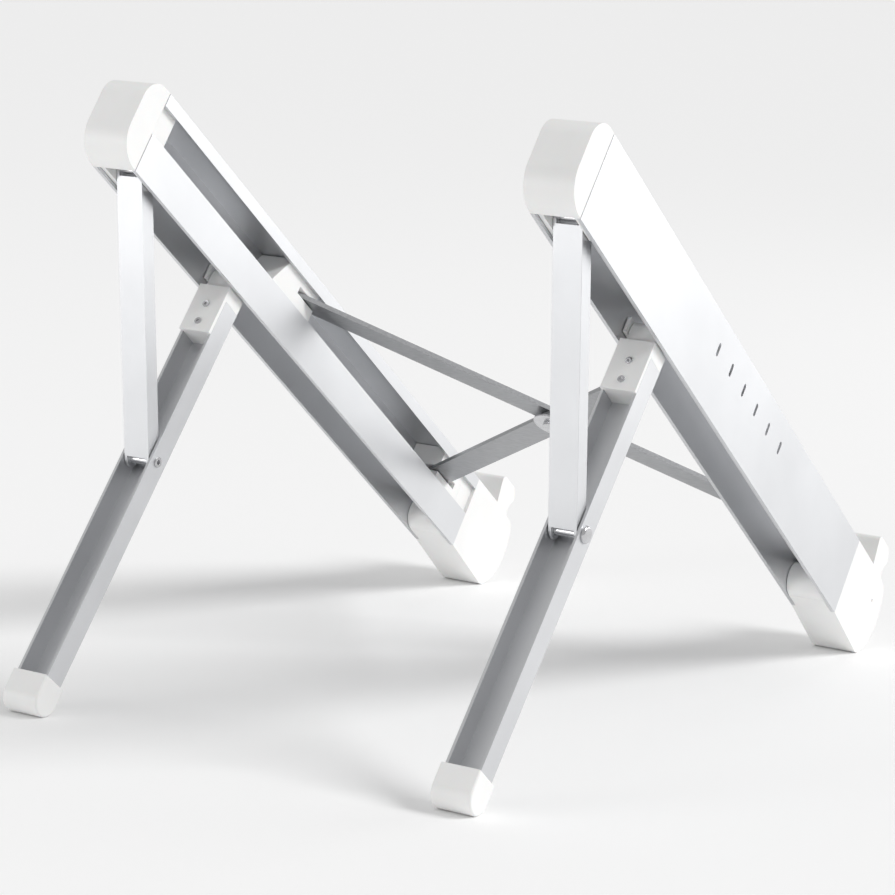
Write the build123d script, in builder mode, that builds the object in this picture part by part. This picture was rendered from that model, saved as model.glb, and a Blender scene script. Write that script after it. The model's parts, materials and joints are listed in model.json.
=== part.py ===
from build123d import *
import os
from math import acos, atan2, cos, degrees, radians, sin, sqrt

# Folding laptop stand: two inclined rails, each on a strut and a leg, joined by a crossed pair of links.
# Row frame: +Z up, the user sits at -Y, and each side's outward direction is away from X = 0.
# Lengths are in millimetres. In side view, "a" runs forward down a rail and "b" rises square to it.

# Driving dimensions
SLOPE = 36.3                # rail angle to the table
RAIL_SPACING = 152.0        # between the rails' middles
RAIL_LENGTH = 243.0
RAIL_WIDTH = 16.0
RAIL_HEIGHT = 27.8
RAIL_WALL = 1.3
LIP_DEPTH = 4.2             # inner wall left above the link window
WINDOW_HEIGHT = 10.2
FLOOR_WALL = 1.2            # web between the link chamber and the leg chamber

SLOT_COUNT = 6
SLOT_FIRST = 100.0
SLOT_PITCH = 12.2
SLOT_DEPTH = 9.4            # slot middle below the rail top
SLOT_LENGTH = 4.4
SLOT_WIDTH = 1.5

CAP_LENGTH = 10.8
CAP_TOP_RADIUS = 8.0
CAP_BOTTOM_RADIUS = 10.0
CAP_INSERT = 8.7            # how far the cap's plug reaches into the rail
CHEEK_WALL = 1.6
SEAM_ROUND = 0.6            # the cap's side edges where it meets the rail
TAB_AHEAD = 4.2             # cheek tab's front end beyond the strut pivot
TAB_LIFT = 1.0              # cheek tab's underside above the rail's

HOOK_BODY = 17.0            # from the rail end to the front lip
HOOK_LIP_HEIGHT = 10.0
HOOK_NOSE = 36.0            # from the rail end to the foremost point
HOOK_NOSE_ROUNDING = 2.0    # the nose's round keeps its foremost point this far back
HOOK_TOE_RADIUS = 5.0
HOOK_TOE_A = 26.5
HOOK_TOE_DEPTH = 24.8
HOOK_INSERT = 8.0

STRUT_LENGTH = 90.2         # pivot to pivot
STRUT_WIDTH = 9.4
STRUT_WALL = 1.0
STRUT_BACK = 3.0            # pivot line to the web's outer face
STRUT_FRONT = 2.3
STRUT_EYE_RADIUS = 2.8      # round ends of the strut's flanges
WEB_START = 1.4             # strut web's end, along from each pivot
STRUT_TOP_A = 8.8           # upper pivot, from the rail's rear end
PIVOT_DEPTH = 22.5          # upper pivots below the rail top

LEG_REACH = 67.9            # knee pivot to head pivot
LEG_WALL = 0.9
KNEE_GAP = 0.25             # between the strut's and the leg's flanges
LEG_FRONT = 4.4             # knee pivot line to the web's outer face
LEG_BACK = 3.5
LEG_TOP = 58.0              # channel end above the knee pivot
LEG_BOTTOM = 79.0           # channel end below the knee pivot
HEAD_A = 71.2               # head pivot, from the rail's rear end
HEAD_RADIUS = 2.9
HEAD_PLUG = 12.5            # how far the leg head reaches into the channel
HEAD_PROUD = 1.3            # how far it stands out of the channel's mouth
COLLAR_GAP = 2.2            # between the leg head's collar and its knuckle
KNUCKLE_HALF = 4.9
SCREW_SITES = (2.5, 9.0)    # below the leg's upper end

FOOT_RADIUS = 5.2
FOOT_WIDTH = 13.2
FOOT_OVERLAP = 0.8          # how far the foot wraps the leg's end
FOOT_ROUND = 0.7

PIN_RADIUS = 1.5
RUNNING_GAP = 0.05          # radial, pin to bore
SIDE_GAP = 0.3              # between faces that slide past each other
OVERRUN = 1.0               # how far a block runs into its neighbour, or a cut past its face
KNEE_HEAD_RADIUS = 2.7
KNEE_HEAD_HEIGHT = 1.1
KNEE_CROWN_ROUND = 0.88
KNEE_SCREW_RADIUS = 1.7
KNEE_SCREW_HEIGHT = 0.4
KNEE_SHANK_RADIUS = 0.9
KNEE_SHANK_LENGTH = 5.0
KNEE_HEX = 0.85             # corner radius of the socket
KNEE_HEX_DEPTH = 1.2

LINK_WIDTH = 9.4
LINK_THICKNESS = 1.6
LINK_GAP = 0.4              # between the two crossing links
LINK_UPPER_DEPTH = 7.2      # upper link's top face below the rail top
LINK_INSET = 17.0           # front link pivots behind the rail's front end
LINK_SPREAD = 122.0         # along the rail, front pivots to carriage pins
RIVET_HEAD_RADIUS = 3.2
RIVET_HEAD_HEIGHT = 1.1
WASHER_RADIUS = 6.8
WASHER_THICKNESS = 0.8

CARRIAGE_BEHIND = 21.0      # link carriage behind and ahead of its pin
CARRIAGE_AHEAD = 6.5
CARRIAGE_SLANT = 7.0
BLOCK_REACH = 9.0           # front pivot block each side of its pin
SLIDER_BEHIND = 4.0
SLIDER_AHEAD = 9.0
SLIDER_BELOW = 2.2
BRIDGE_GAP = 2.6            # between the head knuckle and the slider's bridge
BRIDGE_LIFT = 0.4           # the bridge's underside above the head pivot
SCREW_RADIUS = 0.8
SCREW_HEAD_RADIUS = 1.15
SCREW_HEX = 0.55            # corner radius of the socket
SCREW_LENGTH = 4.0
SCREW_HEAD_HEIGHT = 0.4
DIMPLE_RADIUS = 0.6         # gate mark on the hook's outer face
DIMPLE_DEPTH = 0.4
DIMPLE_AHEAD = 26.4         # from the rail end
DIMPLE_BELOW = 9.9

# Derived directions and places
ALONG = (0, -cos(radians(SLOPE)), -sin(radians(SLOPE)))
ABOVE = (0, -sin(radians(SLOPE)), cos(radians(SLOPE)))
HALF_SPACING = RAIL_SPACING / 2
INNER_HALF = RAIL_WIDTH / 2 - RAIL_WALL
WINDOW_LOW = LIP_DEPTH + WINDOW_HEIGHT
CHAMBER_TOP = WINDOW_LOW + FLOOR_WALL
LEG_WIDTH = STRUT_WIDTH + 2 * (LEG_WALL + KNEE_GAP)
LINK_FRONT_A = RAIL_LENGTH - LINK_INSET
LINK_REAR_A = LINK_FRONT_A - LINK_SPREAD
TOE_A = RAIL_LENGTH + HOOK_TOE_A
REAR_Z = TOE_A * sin(radians(SLOPE)) + HOOK_TOE_DEPTH * cos(radians(SLOPE)) + HOOK_TOE_RADIUS

# The knee is where the strut's and the leg's circles meet.
REACH = HEAD_A - STRUT_TOP_A
STRUT_ANGLE = acos((STRUT_LENGTH**2 + REACH**2 - LEG_REACH**2) / (2 * STRUT_LENGTH * REACH))
KNEE_A = STRUT_TOP_A + STRUT_LENGTH * cos(STRUT_ANGLE)
KNEE_B = -PIVOT_DEPTH - STRUT_LENGTH * sin(STRUT_ANGLE)
LEG_ANGLE = atan2(-PIVOT_DEPTH - KNEE_B, HEAD_A - KNEE_A)
KNEE_Z = REAR_Z + KNEE_A * ALONG[2] + KNEE_B * ABOVE[2]
LEG_MID = (LEG_FRONT - LEG_BACK) / 2
LEG_DROP = sin(LEG_ANGLE - radians(SLOPE))
LEG_LEAN = cos(LEG_ANGLE - radians(SLOPE))
FOOT_REACH = (KNEE_Z - FOOT_RADIUS - LEG_MID * LEG_LEAN) / LEG_DROP

# The row's origin is the middle of the footprint.
FRONT_Y = -(RAIL_LENGTH + HOOK_NOSE) * cos(radians(SLOPE)) + HOOK_NOSE_ROUNDING
FOOT_Y = ALONG[1] * KNEE_A + ABOVE[1] * KNEE_B + FOOT_REACH * LEG_LEAN - LEG_MID * LEG_DROP + FOOT_RADIUS
REAR_Y = -(FRONT_Y + FOOT_Y) / 2


def at(x, a, b):
    """Row position of a side-view point."""
    return (x, REAR_Y + a * ALONG[1] + b * ABOVE[1], REAR_Z + a * ALONG[2] + b * ABOVE[2])


def side_plane(x, a=0.0, b=0.0):
    """Side-view plane, whose normal is -X."""
    return Plane(origin=at(x, a, b), x_dir=ALONG, z_dir=(-1, 0, 0))


def arm_plane(x, a, b, angle):
    """Side-view plane turned so that its local x lies at an angle above the rail."""
    arm = Vector(*ALONG) * cos(angle) + Vector(*ABOVE) * sin(angle)
    return Plane(origin=at(x, a, b), x_dir=arm, z_dir=(-1, 0, 0))


def cross_plane(x, a):
    """Plane square to the rail, with local x along +X and local y along b."""
    return Plane(origin=at(x, a, 0), x_dir=(1, 0, 0), z_dir=ALONG)


def deck_plane(x, a, depth):
    """Plane parallel to the rail top, with local x along +X and local y backwards up the rail."""
    return Plane(origin=at(x, a, -depth), x_dir=(1, 0, 0), z_dir=ABOVE)


def strip(x0, x1, y0, y1, mode=Mode.ADD):
    """Rectangle between two corners, in any order."""
    with Locations(((x0 + x1) / 2, (y0 + y1) / 2)):
        Rectangle(abs(x1 - x0), abs(y1 - y0), mode=mode)


def pin_along_x(x_low, x_high, a, b, radius, mode=Mode.ADD):
    """Round bar along X through a side-view point."""
    with BuildSketch(side_plane(x_high, a, b)) as disc:
        Circle(radius)
    extrude(disc.sketch, amount=x_high - x_low, mode=mode)


def save(builder, name):
    builder.part.label = name
    export_step(builder.part, "parts/" + name + ".step")


def make_rail(side, name):
    x_mid = side * HALF_SPACING
    out = side * RAIL_WIDTH / 2
    inner_out = side * INNER_HALF
    with BuildPart() as rail:
        with BuildSketch(cross_plane(x_mid, 0)):
            strip(-out, out, 0, -RAIL_WALL)
            strip(inner_out, out, 0, -RAIL_HEIGHT)
            strip(-out, -inner_out, 0, -LIP_DEPTH)
            strip(-out, out, -WINDOW_LOW, -CHAMBER_TOP)
            strip(-out, -inner_out, -WINDOW_LOW, -RAIL_HEIGHT)
        extrude(amount=RAIL_LENGTH)
        slot_sites = [(SLOT_FIRST + i * SLOT_PITCH, -SLOT_DEPTH) for i in range(SLOT_COUNT)]
        slot_x = x_mid + out
        with BuildSketch(side_plane(slot_x)):
            with Locations(*slot_sites):
                SlotOverall(SLOT_LENGTH, SLOT_WIDTH, rotation=90)
        extrude(amount=2 * RAIL_WALL, both=True, mode=Mode.SUBTRACT)
    save(rail, name)


def make_rear_cap(side, name):
    x_mid = side * HALF_SPACING
    half = RAIL_WIDTH / 2
    plug_half = INNER_HALF - SIDE_GAP / 2
    plug_low = WINDOW_LOW - SIDE_GAP
    plug_high = RAIL_WALL + SIDE_GAP / 2
    cheek_low = RAIL_HEIGHT - TAB_LIFT
    with BuildPart() as cap:
        with BuildSketch(side_plane(x_mid + half)):
            with BuildLine():
                top = Line((0, 0), (-CAP_LENGTH + CAP_TOP_RADIUS, 0))
                turn = RadiusArc(top @ 1, (-CAP_LENGTH, -CAP_TOP_RADIUS), -CAP_TOP_RADIUS)
                back = Line(turn @ 1, (-CAP_LENGTH, -RAIL_HEIGHT + CAP_BOTTOM_RADIUS))
                heel = (-CAP_LENGTH + CAP_BOTTOM_RADIUS, -RAIL_HEIGHT)
                under = RadiusArc(back @ 1, heel, -CAP_BOTTOM_RADIUS)
                Line(under @ 1, (0, -RAIL_HEIGHT))
                Line((0, -RAIL_HEIGHT), (0, 0))
            make_face()
        extrude(amount=RAIL_WIDTH)
        fillet(cap.edges().filter_by(Axis.X, reverse=True).group_by(SortBy.LENGTH)[-1], SEAM_ROUND)
        # cored out from the rail side, level with the leg chamber
        with BuildSketch(side_plane(x_mid + half - CHEEK_WALL)):
            strip(-CAP_LENGTH / 2, OVERRUN, -CHAMBER_TOP, -RAIL_HEIGHT + 2 * CHEEK_WALL)
        extrude(amount=RAIL_WIDTH - 2 * CHEEK_WALL, mode=Mode.SUBTRACT)
        with BuildSketch(side_plane(x_mid + plug_half)):
            strip(-OVERRUN, CAP_INSERT, -plug_high, -plug_low)
        extrude(amount=2 * plug_half)
        # cheek tabs inside the leg chamber
        tab_out = INNER_HALF - SIDE_GAP / 2
        tab_in = STRUT_WIDTH / 2 + SIDE_GAP
        for x_high in (x_mid + tab_out, x_mid - tab_in):
            with BuildSketch(side_plane(x_high)):
                strip(-OVERRUN, STRUT_TOP_A + TAB_AHEAD, -CHAMBER_TOP - SIDE_GAP / 2, -cheek_low)
            extrude(amount=tab_out - tab_in)
        pin_along_x(x_mid - half, x_mid + half, STRUT_TOP_A, -PIVOT_DEPTH, PIN_RADIUS, Mode.SUBTRACT)
    save(cap, name)


def make_front_hook(side, name):
    x_mid = side * HALF_SPACING
    half = RAIL_WIDTH / 2
    end = RAIL_LENGTH
    lip = end + HOOK_BODY
    nose = end + HOOK_NOSE
    with BuildPart() as hook:
        with BuildSketch(side_plane(x_mid + half)):
            with BuildLine():
                seat = Line((end, 0), (lip + 0.6, 0))
                inner = Line(seat @ 1, (lip - 1.4, HOOK_LIP_HEIGHT - 1.6))
                crest = HOOK_LIP_HEIGHT + 0.4
                tip = ThreePointArc(inner @ 1, (lip - 0.8, HOOK_LIP_HEIGHT), (lip + 0.8, crest))
                crown = Line(tip @ 1, (lip + 6.8, crest))
                brow = ThreePointArc(crown @ 1, (lip + 9.8, crest - 1.4), (lip + 11.2, crest - 4.4))
                notch = Spline(brow @ 1, (lip + 11.0, -0.6), (lip + 15.0, -1.6), (nose - 1.2, -5.8),
                               (nose, -12.4), (nose - 1.0, -20.0), (TOE_A + 4.2, -HOOK_TOE_DEPTH - 2.7))
                toe = ThreePointArc(notch @ 1, (TOE_A + 2.7, -HOOK_TOE_DEPTH - 4.2),
                                    (TOE_A - 0.4, -HOOK_TOE_DEPTH - HOOK_TOE_RADIUS + 0.02))
                Line(toe @ 1, (end, -RAIL_HEIGHT))
                Line((end, -RAIL_HEIGHT), (end, 0))
            make_face()
        extrude(amount=RAIL_WIDTH)
        plug_half = INNER_HALF - SIDE_GAP / 2
        with BuildSketch(side_plane(x_mid + plug_half)):
            strip(end - HOOK_INSERT, end + OVERRUN, -RAIL_WALL - SIDE_GAP / 2, -WINDOW_LOW + SIDE_GAP)
            strip(end - HOOK_INSERT, end + OVERRUN, -CHAMBER_TOP - SIDE_GAP / 2, -RAIL_HEIGHT)
            with Locations((end - HOOK_INSERT, -(CHAMBER_TOP + RAIL_HEIGHT) / 2)):
                Circle((RAIL_HEIGHT - CHAMBER_TOP - SIDE_GAP) / 2)
        extrude(amount=2 * plug_half)
        outer = x_mid + side * half
        mark = (min(outer, outer - side * DIMPLE_DEPTH), max(outer, outer - side * DIMPLE_DEPTH))
        pin_along_x(*mark, end + DIMPLE_AHEAD, -DIMPLE_BELOW, DIMPLE_RADIUS, Mode.SUBTRACT)
    save(hook, name)


def channel_arm(x_mid, plane_of, low, high, width, wall, front, back, web_front, web_from, web_to):
    """Folded channel: two flanges along local x, and a web on one long side."""
    half = width / 2
    for x_high in (x_mid + half, x_mid - half + wall):
        with BuildSketch(plane_of(x_high)) as flange:
            strip(low, high, -front, back)
        extrude(flange.sketch, amount=wall)
    edge = -front if web_front else back
    inner = edge + wall if web_front else edge - wall
    with BuildSketch(plane_of(x_mid + half)) as web:
        strip(web_from, web_to, edge, inner)
    extrude(web.sketch, amount=width)


def strut_frame(x):
    return arm_plane(x, KNEE_A, KNEE_B, radians(180) - STRUT_ANGLE)


def leg_frame(x):
    return arm_plane(x, KNEE_A, KNEE_B, LEG_ANGLE)


def make_strut(side, name):
    x_mid = side * HALF_SPACING
    half = STRUT_WIDTH / 2
    with BuildPart() as strut:
        channel_arm(x_mid, strut_frame, 0, STRUT_LENGTH, STRUT_WIDTH, STRUT_WALL, STRUT_FRONT, STRUT_BACK,
                    False, WEB_START, STRUT_LENGTH - WEB_START)
        for x_high in (x_mid + half, x_mid - half + STRUT_WALL):
            with BuildSketch(strut_frame(x_high)):
                with Locations((0, 0), (STRUT_LENGTH, 0)):
                    Circle(STRUT_EYE_RADIUS)
            extrude(amount=STRUT_WALL)
        for site in (0, STRUT_LENGTH):
            with BuildSketch(strut_frame(x_mid + half)):
                with Locations((site, 0)):
                    Circle(PIN_RADIUS + RUNNING_GAP)
            extrude(amount=STRUT_WIDTH, mode=Mode.SUBTRACT)
    save(strut, name)


def make_leg(side, name):
    x_mid = side * HALF_SPACING
    half = LEG_WIDTH / 2
    with BuildPart() as leg:
        channel_arm(x_mid, leg_frame, -LEG_BOTTOM, LEG_TOP, LEG_WIDTH, LEG_WALL, LEG_FRONT, LEG_BACK,
                    True, -LEG_BOTTOM, LEG_TOP)
        pin_along_x(x_mid - half, x_mid + half, KNEE_A, KNEE_B, PIN_RADIUS, Mode.SUBTRACT)
    save(leg, name)


def make_leg_head(side, name):
    """Moulded head: a plug in the channel, a collar above it and a knuckle for the head pivot."""
    x_mid = side * HALF_SPACING
    plug_half = LEG_WIDTH / 2 - LEG_WALL
    collar_end = LEG_REACH - HEAD_RADIUS - COLLAR_GAP
    with BuildPart() as head:
        with BuildSketch(leg_frame(x_mid + plug_half)):
            strip(LEG_TOP - HEAD_PLUG, LEG_TOP + OVERRUN, -LEG_FRONT + LEG_WALL, LEG_BACK)
        extrude(amount=2 * plug_half)
        with BuildSketch(leg_frame(x_mid + LEG_WIDTH / 2)):
            strip(LEG_TOP - HEAD_PLUG, collar_end, LEG_BACK, LEG_BACK + HEAD_PROUD)
            strip(LEG_TOP, collar_end, -LEG_FRONT, LEG_BACK)
        extrude(amount=LEG_WIDTH)
        with BuildSketch(leg_frame(x_mid + KNUCKLE_HALF)):
            strip(LEG_TOP, LEG_REACH, -HEAD_RADIUS, HEAD_RADIUS)
            with Locations((LEG_REACH, 0)):
                Circle(HEAD_RADIUS)
                Circle(PIN_RADIUS + RUNNING_GAP, mode=Mode.SUBTRACT)
        extrude(amount=2 * KNUCKLE_HALF)
        for below in SCREW_SITES:
            with BuildSketch(screw_plane(x_mid, LEG_TOP - below)):
                Circle(SCREW_RADIUS)
            extrude(amount=-SCREW_LENGTH, mode=Mode.SUBTRACT)
    save(head, name)


def screw_plane(x, site):
    """Plane on the leg head's rear face, facing out, at a distance above the knee."""
    frame = leg_frame(x)
    spot = frame.from_local_coords(Vector(site, LEG_BACK + HEAD_PROUD, 0))
    return Plane(origin=spot, x_dir=(1, 0, 0), z_dir=frame.y_dir)


def make_head_screws(side, name):
    x_mid = side * HALF_SPACING
    with BuildPart() as screws:
        for below in SCREW_SITES:
            with BuildSketch(screw_plane(x_mid, LEG_TOP - below)):
                Circle(SCREW_RADIUS)
            extrude(amount=-SCREW_LENGTH)
            with BuildSketch(screw_plane(x_mid, LEG_TOP - below)):
                Circle(SCREW_HEAD_RADIUS)
                RegularPolygon(SCREW_HEX, 6, mode=Mode.SUBTRACT)
            extrude(amount=SCREW_HEAD_HEIGHT)
    save(screws, name)


def make_foot(side, name):
    x_mid = side * HALF_SPACING
    plug_half = LEG_WIDTH / 2 - LEG_WALL
    with BuildPart() as foot:
        with BuildSketch(leg_frame(x_mid + FOOT_WIDTH / 2)):
            strip(-LEG_BOTTOM + FOOT_OVERLAP, -FOOT_REACH, -LEG_MID - FOOT_RADIUS, -LEG_MID + FOOT_RADIUS)
            with Locations((-FOOT_REACH, -LEG_MID)):
                Circle(FOOT_RADIUS)
        extrude(amount=FOOT_WIDTH)
        ends = foot.faces().filter_by(Axis.X)
        fillet(ends.edges(), FOOT_ROUND)
        with BuildSketch(leg_frame(x_mid + LEG_WIDTH / 2)):
            strip(-LEG_BOTTOM, -LEG_BOTTOM + FOOT_OVERLAP + OVERRUN, -LEG_FRONT, LEG_BACK)
        extrude(amount=LEG_WIDTH, mode=Mode.SUBTRACT)
        with BuildSketch(leg_frame(x_mid + plug_half)):
            strip(-LEG_BOTTOM - OVERRUN, -LEG_BOTTOM + FOOT_OVERLAP,
                  -LEG_FRONT + LEG_WALL, LEG_BACK - LEG_WALL)
        extrude(amount=2 * plug_half)
    save(foot, name)


def make_knee_pin(side, name):
    """Barrel nut with a domed head on the outer face of the leg."""
    x_mid = side * HALF_SPACING
    face = x_mid + side * LEG_WIDTH / 2
    far = x_mid - side * LEG_WIDTH / 2
    with BuildPart() as pin:
        pin_along_x(min(face, far), max(face, far), KNEE_A, KNEE_B, PIN_RADIUS)
        tip = face + side * KNEE_HEAD_HEIGHT
        pin_along_x(min(face, tip), max(face, tip), KNEE_A, KNEE_B, KNEE_HEAD_RADIUS)
        crown = pin.faces().filter_by(Axis.X).sort_by(Axis.X)[-1 if side > 0 else 0]
        fillet(crown.edges(), KNEE_CROWN_ROUND)
        bore = far + side * KNEE_SHANK_LENGTH
        pin_along_x(min(bore, far), max(bore, far), KNEE_A, KNEE_B, KNEE_SHANK_RADIUS, Mode.SUBTRACT)
    save(pin, name)


def make_knee_screw(side, name):
    """Socket screw that closes the knee from the inner face of the leg."""
    x_mid = side * HALF_SPACING
    face = x_mid - side * LEG_WIDTH / 2
    tip = face - side * KNEE_SCREW_HEIGHT
    shank = face + side * KNEE_SHANK_LENGTH
    socket = tip + side * KNEE_HEX_DEPTH
    with BuildPart() as screw:
        pin_along_x(min(face, tip), max(face, tip), KNEE_A, KNEE_B, KNEE_SCREW_RADIUS)
        pin_along_x(min(face, shank), max(face, shank), KNEE_A, KNEE_B, KNEE_SHANK_RADIUS)
        with BuildSketch(side_plane(max(tip, socket), KNEE_A, KNEE_B)):
            RegularPolygon(KNEE_HEX, 6)
        extrude(amount=KNEE_HEX_DEPTH, mode=Mode.SUBTRACT)
    save(screw, name)


def make_pivot_pin(side, name, a, half_length):
    x_mid = side * HALF_SPACING
    with BuildPart() as pin:
        pin_along_x(x_mid - half_length, x_mid + half_length, a, -PIVOT_DEPTH, PIN_RADIUS)
    save(pin, name)


def make_height_slider(side, name):
    """Runner in the leg chamber, with two ears that hold the head pivot."""
    x_mid = side * HALF_SPACING
    half = INNER_HALF - SIDE_GAP
    ear_gap = KNUCKLE_HALF + SIDE_GAP
    top = PIVOT_DEPTH - HEAD_RADIUS
    with BuildPart() as slider:
        for x_high in (x_mid + half, x_mid - ear_gap):
            with BuildSketch(side_plane(x_high)):
                strip(HEAD_A - SLIDER_BEHIND, HEAD_A + SLIDER_AHEAD, -top, -PIVOT_DEPTH - SLIDER_BELOW)
            extrude(amount=half - ear_gap)
        with BuildSketch(side_plane(x_mid + half)):
            strip(HEAD_A + HEAD_RADIUS + BRIDGE_GAP, HEAD_A + SLIDER_AHEAD, -top, -PIVOT_DEPTH + BRIDGE_LIFT)
        extrude(amount=2 * half)
        pin_along_x(x_mid - half, x_mid + half, HEAD_A, -PIVOT_DEPTH, PIN_RADIUS, Mode.SUBTRACT)
    save(slider, name)


def link_depth(upper):
    """Top face of a link below the rail top."""
    return LINK_UPPER_DEPTH if upper else LINK_UPPER_DEPTH + LINK_THICKNESS + LINK_GAP


def make_link_block(side, name, a, behind, ahead, upper, mouth, slant):
    """Moulded block in the link chamber, notched for one link, with a bore for its pin.

    The notch opens towards the middle, and backwards (mouth 1) or forwards (mouth -1). The rear face
    leans forwards by slant.
    """
    x_mid = side * HALF_SPACING
    half = INNER_HALF - SIDE_GAP / 2
    top = RAIL_WALL + SIDE_GAP / 2
    low = WINDOW_LOW - SIDE_GAP / 2
    notch_top = link_depth(upper) - SIDE_GAP
    notch_low = link_depth(upper) + LINK_THICKNESS + SIDE_GAP
    notch_back = LINK_WIDTH / 2 + SIDE_GAP
    past_wall = side * (half + OVERRUN)
    notch_end = mouth * (max(behind, ahead) + OVERRUN)
    with BuildPart() as block:
        with BuildSketch(side_plane(x_mid + half)):
            rear_top = (a - behind + slant, -top)
            Polygon((a - behind, -low), (a + ahead, -low), (a + ahead, -top), rear_top, align=None)
        extrude(amount=2 * half)
        with BuildSketch(deck_plane(x_mid, a, notch_low)):
            Circle(notch_back)
            strip(-past_wall, 0, -mouth * notch_back, 0)
            strip(-past_wall, past_wall, 0, notch_end)
        extrude(amount=notch_low - notch_top, mode=Mode.SUBTRACT)
        with BuildSketch(deck_plane(x_mid, a, low)):
            Circle(PIN_RADIUS)
        extrude(amount=low - top, mode=Mode.SUBTRACT)
    save(block, name)


def make_link_pin(side, name, a):
    x_mid = side * HALF_SPACING
    top = RAIL_WALL + SIDE_GAP / 2
    low = WINDOW_LOW - SIDE_GAP / 2
    with BuildPart() as pin:
        with BuildSketch(deck_plane(x_mid, a, low)):
            Circle(PIN_RADIUS)
        extrude(amount=low - top)
    save(pin, name)


CROSS_A = (LINK_FRONT_A + LINK_REAR_A) / 2
HALF_LINK = sqrt(HALF_SPACING**2 + ((LINK_FRONT_A - LINK_REAR_A) / 2) ** 2)
LINK_ANGLE = degrees(atan2((LINK_FRONT_A - LINK_REAR_A) / 2, HALF_SPACING))


def make_link(name, upper, tilt):
    with BuildPart() as link:
        with BuildSketch(deck_plane(0, CROSS_A, link_depth(upper) + LINK_THICKNESS)):
            SlotCenterToCenter(2 * HALF_LINK, LINK_WIDTH, rotation=tilt)
            with Locations((0, 0)):
                Circle(PIN_RADIUS + RUNNING_GAP, mode=Mode.SUBTRACT)
            with PolarLocations(HALF_LINK, 2, tilt):
                Circle(PIN_RADIUS + RUNNING_GAP, mode=Mode.SUBTRACT)
        extrude(amount=LINK_THICKNESS)
    save(link, name)


def make_cross_rivet():
    """Rivet through the crossing, with a washer on the under link."""
    top = link_depth(True)
    low = link_depth(False) + LINK_THICKNESS
    with BuildPart() as rivet:
        with BuildSketch(deck_plane(0, CROSS_A, low + WASHER_THICKNESS)):
            Circle(PIN_RADIUS)
        extrude(amount=low + WASHER_THICKNESS - top)
        with BuildSketch(deck_plane(0, CROSS_A, top)):
            Circle(RIVET_HEAD_RADIUS)
        extrude(amount=RIVET_HEAD_HEIGHT)
        with BuildSketch(deck_plane(0, CROSS_A, low + WASHER_THICKNESS)):
            Circle(RIVET_HEAD_RADIUS)
        extrude(amount=-RIVET_HEAD_HEIGHT)
    save(rivet, "cross_rivet")
    with BuildPart() as washer:
        with BuildSketch(deck_plane(0, CROSS_A, low + WASHER_THICKNESS)):
            Circle(WASHER_RADIUS)
            Circle(PIN_RADIUS, mode=Mode.SUBTRACT)
        extrude(amount=WASHER_THICKNESS)
    save(washer, "cross_washer")


os.makedirs("parts", exist_ok=True)
for side, word in ((-1, "left"), (1, "right")):
    rear_is_upper = side > 0
    make_rail(side, word + "_rail")
    make_rear_cap(side, word + "_rear_cap")
    make_front_hook(side, word + "_front_hook")
    make_strut(side, word + "_strut")
    make_pivot_pin(side, word + "_strut_pin", STRUT_TOP_A, INNER_HALF - SIDE_GAP / 2)
    make_leg(side, word + "_leg")
    make_leg_head(side, word + "_leg_head")
    make_head_screws(side, word + "_head_screws")
    make_foot(side, word + "_foot")
    make_knee_pin(side, word + "_knee_pin")
    make_knee_screw(side, word + "_knee_screw")
    make_height_slider(side, word + "_height_slider")
    make_pivot_pin(side, word + "_head_pin", HEAD_A, INNER_HALF - SIDE_GAP)
    make_link_block(side, word + "_link_carriage", LINK_REAR_A, CARRIAGE_BEHIND, CARRIAGE_AHEAD,
                    rear_is_upper, -1, CARRIAGE_SLANT)
    make_link_pin(side, word + "_carriage_pin", LINK_REAR_A)
    make_link_block(side, word + "_front_block", LINK_FRONT_A, BLOCK_REACH, BLOCK_REACH,
                    not rear_is_upper, 1, 0)
    make_link_pin(side, word + "_front_pin", LINK_FRONT_A)
make_link("link_a", True, LINK_ANGLE)
make_link("link_b", False, -LINK_ANGLE)
make_cross_rivet()
print("knee a, b:", KNEE_A, KNEE_B)
print("foot reach:", FOOT_REACH)
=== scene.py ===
import json
import math

import bmesh
import bpy
from mathutils import Matrix, Vector


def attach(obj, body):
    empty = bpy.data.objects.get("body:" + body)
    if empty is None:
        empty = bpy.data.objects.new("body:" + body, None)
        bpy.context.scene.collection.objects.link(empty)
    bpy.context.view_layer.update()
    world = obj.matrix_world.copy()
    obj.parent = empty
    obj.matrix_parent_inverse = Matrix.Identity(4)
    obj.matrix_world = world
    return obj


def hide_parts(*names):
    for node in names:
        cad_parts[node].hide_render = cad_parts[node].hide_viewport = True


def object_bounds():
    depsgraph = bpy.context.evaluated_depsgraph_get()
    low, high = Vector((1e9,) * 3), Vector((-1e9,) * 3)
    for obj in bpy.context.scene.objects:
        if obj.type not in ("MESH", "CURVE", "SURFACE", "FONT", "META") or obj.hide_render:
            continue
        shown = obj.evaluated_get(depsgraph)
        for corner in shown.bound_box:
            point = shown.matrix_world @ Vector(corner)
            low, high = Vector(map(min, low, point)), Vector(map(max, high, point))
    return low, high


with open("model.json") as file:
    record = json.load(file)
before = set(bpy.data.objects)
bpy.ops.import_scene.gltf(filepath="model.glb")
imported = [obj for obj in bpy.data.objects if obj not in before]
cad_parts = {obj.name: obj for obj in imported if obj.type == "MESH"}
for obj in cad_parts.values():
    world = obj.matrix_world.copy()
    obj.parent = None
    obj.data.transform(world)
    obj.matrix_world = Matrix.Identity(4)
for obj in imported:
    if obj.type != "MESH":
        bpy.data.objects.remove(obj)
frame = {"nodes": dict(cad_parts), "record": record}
cad_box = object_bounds()

MM = 0.001

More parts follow.
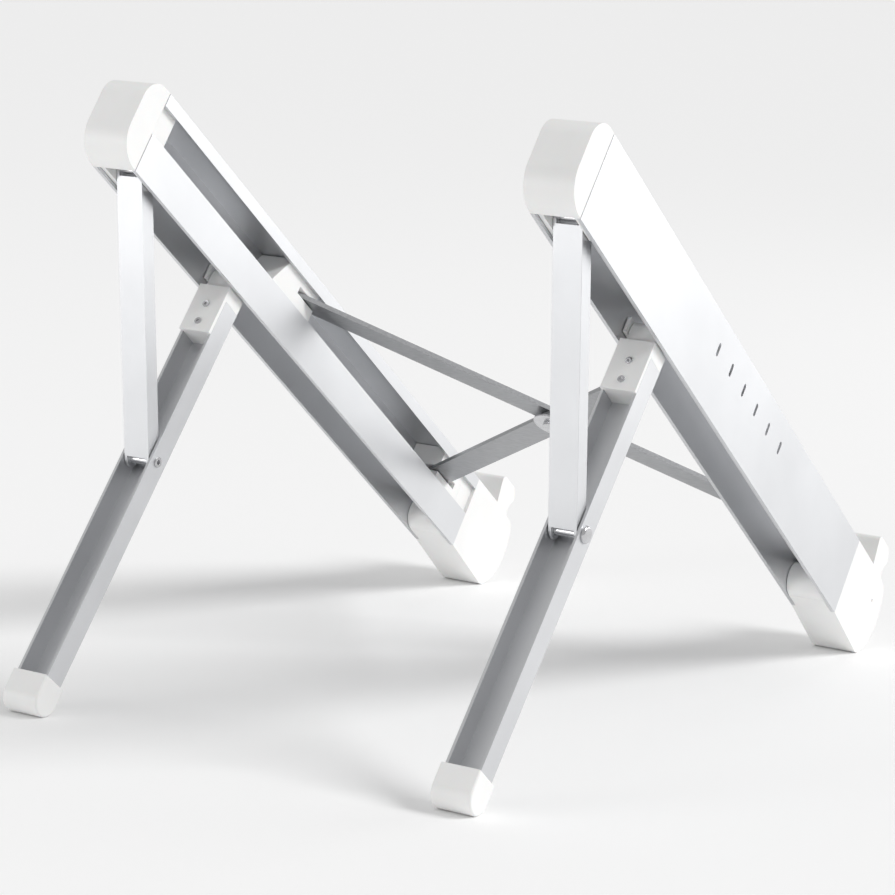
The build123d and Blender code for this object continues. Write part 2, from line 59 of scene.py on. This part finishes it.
# Camera: the stand seen from behind its user's left, a little above rail height
AIM = Vector((0.0, 19.4, 28.3)) * MM
CAMERA_DISTANCE = 934.5 * MM
CAMERA_AZIMUTH = math.radians(210.9)
CAMERA_ELEVATION = math.radians(12.87)
CAMERA_ROLL = math.radians(3.0)
CAMERA_LENS = 117.5
CAMERA_SHIFT_Y = 0.1704

FLOOR_SIDE = 60.0
SURROUND_STRENGTH = 0.55
KEY_STRENGTH = 1.6
SIDE_PANEL_POWER = 4.5
REAR_PANEL_POWER = 3.5


def linear(hex_colour):
    """sRGB hex to the linear colour that a shader takes."""
    channels = [int(hex_colour[i:i + 2], 16) / 255 for i in (1, 3, 5)]
    return [c / 12.92 if c <= 0.04045 else ((c + 0.055) / 1.055) ** 2.4 for c in channels] + [1.0]


def add_node(tree, kind, links=(), **settings):
    """Adds one node. A setting named like an input is set on that input; links are (socket, input) pairs."""
    node = tree.nodes.new(kind)
    for name, value in settings.items():
        label = name.replace("_", " ").title()
        if label in node.inputs:
            node.inputs[label].default_value = value
        else:
            setattr(node, name, value)
    for socket, name in links:
        tree.links.new(socket, node.inputs[name])
    return node


def new_material(name):
    material = bpy.data.materials.new(name)
    material.use_nodes = True
    tree = material.node_tree
    return material, tree, tree.nodes["Principled BSDF"]


def colour_between(tree, factor, low, high):
    ramp = add_node(tree, "ShaderNodeValToRGB", [(factor, "Fac")])
    ramp.color_ramp.elements[0].position = 0.3
    ramp.color_ramp.elements[0].color = linear(low)
    ramp.color_ramp.elements[1].position = 0.7
    ramp.color_ramp.elements[1].color = linear(high)
    return ramp.outputs["Color"]


def rough_between(tree, factor, low, high):
    spread = add_node(tree, "ShaderNodeMapRange", [(factor, "Value")])
    spread.inputs["To Min"].default_value = low
    spread.inputs["To Max"].default_value = high
    return spread.outputs["Result"]


def anodised_aluminium(name, low, high, roughness, grain_mm, depth_mm):
    """Anodised aluminium, bead-blasted before anodising: a soft even sheen with a very fine grain."""
    material, tree, shader = new_material(name)
    place = add_node(tree, "ShaderNodeTexCoord").outputs["Object"]
    cloud = add_node(tree, "ShaderNodeTexNoise", [(place, "Vector")], scale=1 / (40 * MM), detail=3.0)
    grain = add_node(tree, "ShaderNodeTexNoise", [(place, "Vector")], scale=1 / (grain_mm * MM), detail=2.0)
    tree.links.new(colour_between(tree, cloud.outputs["Fac"], low, high), shader.inputs["Base Color"])
    rough = rough_between(tree, grain.outputs["Fac"], roughness - 0.05, roughness + 0.05)
    tree.links.new(rough, shader.inputs["Roughness"])
    bump = add_node(tree, "ShaderNodeBump", [(grain.outputs["Fac"], "Height")], strength=0.35,
                    distance=depth_mm * MM)
    tree.links.new(bump.outputs["Normal"], shader.inputs["Normal"])
    shader.inputs["Metallic"].default_value = 1.0
    return material


def moulded_abs(name, low, high):
    """White ABS, injection moulded in a lightly sparked tool: a fine matt skin with a faint gloss."""
    material, tree, shader = new_material(name)
    place = add_node(tree, "ShaderNodeTexCoord").outputs["Object"]
    flow = add_node(tree, "ShaderNodeTexNoise", [(place, "Vector")], scale=1 / (18 * MM), detail=2.0)
    spark = add_node(tree, "ShaderNodeTexNoise", [(place, "Vector")], scale=1 / (0.35 * MM), detail=2.0)
    tree.links.new(colour_between(tree, flow.outputs["Fac"], low, high), shader.inputs["Base Color"])
    rough = rough_between(tree, spark.outputs["Fac"], 0.36, 0.5)
    tree.links.new(rough, shader.inputs["Roughness"])
    bump = add_node(tree, "ShaderNodeBump", [(spark.outputs["Fac"], "Height")], strength=0.25,
                    distance=0.01 * MM)
    tree.links.new(bump.outputs["Normal"], shader.inputs["Normal"])
    shader.inputs["IOR"].default_value = 1.53
    shader.inputs["Subsurface Weight"].default_value = 0.05
    shader.inputs["Subsurface Scale"].default_value = 1.0 * MM
    return material


def brushed_link(name):
    """Rolled aluminium strip: grain lines run along the strip, drawn coarse enough to show."""
    material, tree, shader = new_material(name)
    place = add_node(tree, "ShaderNodeTexCoord").outputs["Object"]
    stretch = add_node(tree, "ShaderNodeMapping", [(place, "Vector")])
    stretch.inputs["Scale"].default_value = (0.15, 1.0, 1.0)
    lines = add_node(tree, "ShaderNodeTexNoise", [(stretch.outputs["Vector"], "Vector")],
                     scale=1 / (0.5 * MM), detail=3.0)
    colour = colour_between(tree, lines.outputs["Fac"], "#a3a4a6", "#b4b5b7")
    tree.links.new(colour, shader.inputs["Base Color"])
    tree.links.new(rough_between(tree, lines.outputs["Fac"], 0.34, 0.48), shader.inputs["Roughness"])
    shader.inputs["Metallic"].default_value = 1.0
    return material


def polished_steel(name):
    """Nickel-plated steel, turned and polished: clear highlights with faint handling marks."""
    material, tree, shader = new_material(name)
    place = add_node(tree, "ShaderNodeTexCoord").outputs["Object"]
    marks = add_node(tree, "ShaderNodeTexNoise", [(place, "Vector")], scale=1 / (1.5 * MM), detail=4.0)
    colour = colour_between(tree, marks.outputs["Fac"], "#c4c4c6", "#d2d2d4")
    tree.links.new(colour, shader.inputs["Base Color"])
    tree.links.new(rough_between(tree, marks.outputs["Fac"], 0.14, 0.26), shader.inputs["Roughness"])
    shader.inputs["Metallic"].default_value = 1.0
    return material


FINISHES = {
    "anodised_rail": anodised_aluminium(
        "anodised_rail_aluminium", "#dcdddf", "#e4e5e7", roughness=0.42, grain_mm=0.25, depth_mm=0.008),
    "anodised_channel": anodised_aluminium(
        "anodised_channel_aluminium", "#d6d7d9", "#dfe0e2", roughness=0.4, grain_mm=0.25, depth_mm=0.008),
    "link_alloy": brushed_link("rolled_link_aluminium"),
    "white_abs": moulded_abs("white_moulded_abs", "#eeeeed", "#f3f3f2"),
    "bright_steel": polished_steel("nickel_plated_steel"),
}

# Edge breaks, in millimetres: moulded corners are rounder than cut or folded metal
EDGE_BREAK = {
    "anodised_rail": 0.2,
    "anodised_channel": 0.15,
    "link_alloy": 0.15,
    "white_abs": 0.7,
    "bright_steel": 0.12,
}
SHARP_ANGLE = math.radians(32)
MERGE = 0.001 * MM


def slot_of(node):
    return next(s["material_slot"] for s in frame["record"]["subparts"] if s["node"] == node)


def body_holding(node):
    return next(body for body, nodes in frame["record"]["behaviour"]["bodies"].items() if node in nodes)


def broken_edges(node):
    """A finished copy of a CAD node: flat faces joined up, and its sharp edges rounded over."""
    finish = slot_of(node)
    source = frame["nodes"][node]
    work = bmesh.new()
    work.from_mesh(source.data)
    work.transform(source.matrix_world)
    bmesh.ops.remove_doubles(work, verts=work.verts, dist=MERGE)
    bmesh.ops.dissolve_limit(work, angle_limit=math.radians(0.5), verts=work.verts, edges=work.edges)
    mesh = bpy.data.meshes.new(node + "_finished")
    work.to_mesh(mesh)
    work.free()
    piece = bpy.data.objects.new(node + "_finished", mesh)
    bpy.context.scene.collection.objects.link(piece)
    mesh.materials.clear()
    mesh.materials.append(FINISHES[finish])
    mesh.shade_smooth()
    bevel = piece.modifiers.new("edge_break", "BEVEL")
    bevel.width = EDGE_BREAK[finish] * MM
    bevel.segments = 2
    bevel.limit_method = "ANGLE"
    bevel.angle_limit = SHARP_ANGLE
    facing = piece.modifiers.new("flat_faces", "WEIGHTED_NORMAL")
    facing.weight = 100
    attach(piece, body_holding(node))
    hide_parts(node)
    return piece


def aim_light(name, kind, place, energy, **shape):
    """Adds a light that faces the middle of the stand."""
    middle = (Vector(cad_box[0]) + Vector(cad_box[1])) / 2
    data = bpy.data.lights.new(name, kind)
    data.energy = energy
    for setting, value in shape.items():
        setattr(data, setting, value)
    lamp = bpy.data.objects.new(name, data)
    lamp.location = middle + Vector(place)
    lamp.rotation_euler = (middle - lamp.location).to_track_quat("-Z", "Y").to_euler()
    bpy.context.scene.collection.objects.link(lamp)


def set_studio():
    """White paper floor, an even surround, a wide soft key, and a bright panel each side of the stand."""
    bpy.ops.mesh.primitive_plane_add(size=FLOOR_SIDE, location=(0, 0, 0))
    floor = bpy.context.object
    floor.name = "studio_floor"
    material, tree, shader = new_material("studio_floor_paper")
    shader.inputs["Base Color"].default_value = linear("#fdfdfd")
    shader.inputs["Roughness"].default_value = 0.95
    floor.data.materials.append(material)
    world = bpy.data.worlds.new("studio_surround")
    bpy.context.scene.world = world
    world.use_nodes = True
    background = world.node_tree.nodes["Background"]
    background.inputs["Color"].default_value = linear("#ffffff")
    background.inputs["Strength"].default_value = SURROUND_STRENGTH
    aim_light("key_light", "SUN", (-1.2, -0.5, 1.1), KEY_STRENGTH, angle=math.radians(25))
    aim_light("side_panel", "AREA", (-0.8, -1.3, 0.15), SIDE_PANEL_POWER, size=1.0)
    aim_light("rear_panel", "AREA", (0.75, 1.25, 0.1), REAR_PANEL_POWER, size=0.5)


def set_camera():
    back = Vector((
        -math.sin(CAMERA_AZIMUTH - math.pi) * math.cos(CAMERA_ELEVATION),
        math.cos(CAMERA_AZIMUTH - math.pi) * math.cos(CAMERA_ELEVATION),
        math.sin(CAMERA_ELEVATION),
    ))
    level = Vector((0, 0, 1)).cross(back).normalized()
    upright = back.cross(level)
    right = level * math.cos(CAMERA_ROLL) + upright * math.sin(CAMERA_ROLL)
    up = back.cross(right)
    data = bpy.data.cameras.new("camera")
    data.lens = CAMERA_LENS
    data.sensor_width = 36.0
    data.shift_y = CAMERA_SHIFT_Y
    camera = bpy.data.objects.new("camera", data)
    turn = Matrix((right, up, back)).transposed().to_4x4()
    camera.matrix_world = Matrix.Translation(AIM + back * CAMERA_DISTANCE) @ turn
    bpy.context.scene.collection.objects.link(camera)
    bpy.context.scene.camera = camera


bpy.context.scene.view_settings.view_transform = "Standard"
set_camera()
set_studio()
for cad_name in sorted(frame["nodes"]):
    broken_edges(cad_name)
